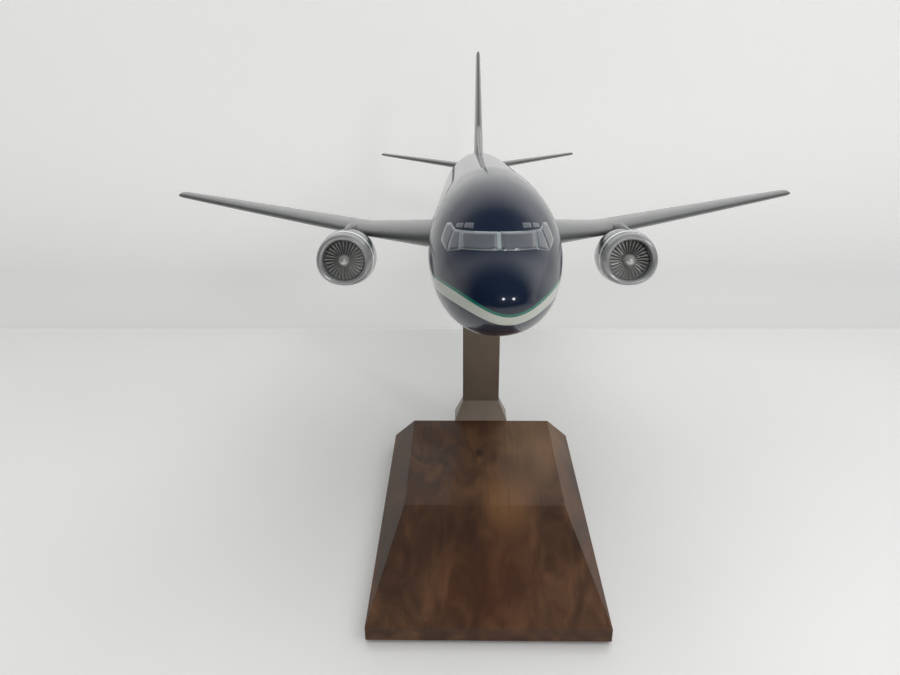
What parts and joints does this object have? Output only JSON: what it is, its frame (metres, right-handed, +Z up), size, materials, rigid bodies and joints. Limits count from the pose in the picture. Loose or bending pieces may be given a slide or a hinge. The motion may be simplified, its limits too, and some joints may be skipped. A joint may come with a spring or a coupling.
{
  "type": "desktop airliner model",
  "caption": "Desk-size twin-engine airliner model, nose up on a flat metal strut behind a chamfered, varnished walnut block; it turns on its post and lifts off.",
  "frame": {"origin": "centre of the pad under the wooden block, on the table", "axes": "+Z up; the nose points along -Y, the strut stands behind the block at +Y, and the aircraft's own left wing is at +X"},
  "size_m": [0.2892, 0.3354, 0.1825],
  "materials": {
    "walnut": "varnished walnut",
    "pad_rubber": "matt dark rubber",
    "bronzed_metal": "satin bronze-brown anodised",
    "plain_steel": "plain steel",
    "washer": "grey nylon",
    "hull_paint": "high-gloss navy with a white band and a thin teal line",
    "inner_block": "cast resin",
    "socket_brass": "turned brass",
    "wing_paint": "satin grey paint",
    "cowl_paint": "grey with white and teal rings and a navy rear",
    "bare_metal": "polished metal",
    "fan_dark": "dark grey",
    "fan_metal": "metallic grey paint",
    "fin_paint": "glossy dark blue-grey"
  },
  "bodies": {
    "stand": {"base_block": "walnut", "base_pad": "pad_rubber", "stand_strut": "bronzed_metal", "strut_screws": "plain_steel"},
    "post": {"pivot_post": "plain_steel", "post_washer": "washer"},
    "aircraft": {"fuselage_left": "hull_paint", "fuselage_right": "hull_paint", "belly_fairing": "hull_paint", "socket_block": "inner_block", "mount_socket": "socket_brass", "wing_left": "wing_paint", "wing_right": "wing_paint", "wing_spar": "plain_steel", "flap_fairings_left": "wing_paint", "flap_fairings_right": "wing_paint", "pylon_left": "wing_paint", "pylon_right": "wing_paint", "nacelle_cowl_left": "cowl_paint", "nacelle_cowl_right": "cowl_paint", "inlet_lip_left": "bare_metal", "inlet_lip_right": "bare_metal", "fan_frame_left": "fan_dark", "fan_frame_right": "fan_dark", "fan_pin_left": "plain_steel", "fan_pin_right": "plain_steel", "core_nozzle_left": "bare_metal", "core_nozzle_right": "bare_metal", "exhaust_plug_left": "bare_metal", "exhaust_plug_right": "bare_metal", "tailplane_left": "wing_paint", "tailplane_right": "wing_paint", "tailplane_spar": "plain_steel", "tail_fin": "fin_paint"},
    "fan_left": {"fan_left": "fan_metal"},
    "fan_right": {"fan_right": "fan_metal"}
  },
  "joints": [
    {"name": "model_turn", "type": "hinge", "parent": "stand", "child": "post", "pos_m": [0, 0.0692, 0.09], "axis": [0, 0, 1], "continuous": true},
    {"name": "model_lift", "type": "slide", "parent": "post", "child": "aircraft", "axis": [0, 0, 1], "range_m": [0, 0.014]},
    {"name": "fan_left_spin", "type": "hinge", "parent": "aircraft", "child": "fan_left", "pos_m": [0.0543, 0.01237, 0.11588], "axis": [0, 0.9833, -0.1822], "continuous": true},
    {"name": "fan_right_spin", "type": "hinge", "parent": "aircraft", "child": "fan_right", "pos_m": [-0.0543, 0.01237, 0.11588], "axis": [0, 0.9833, -0.1822], "continuous": true}
  ]
}
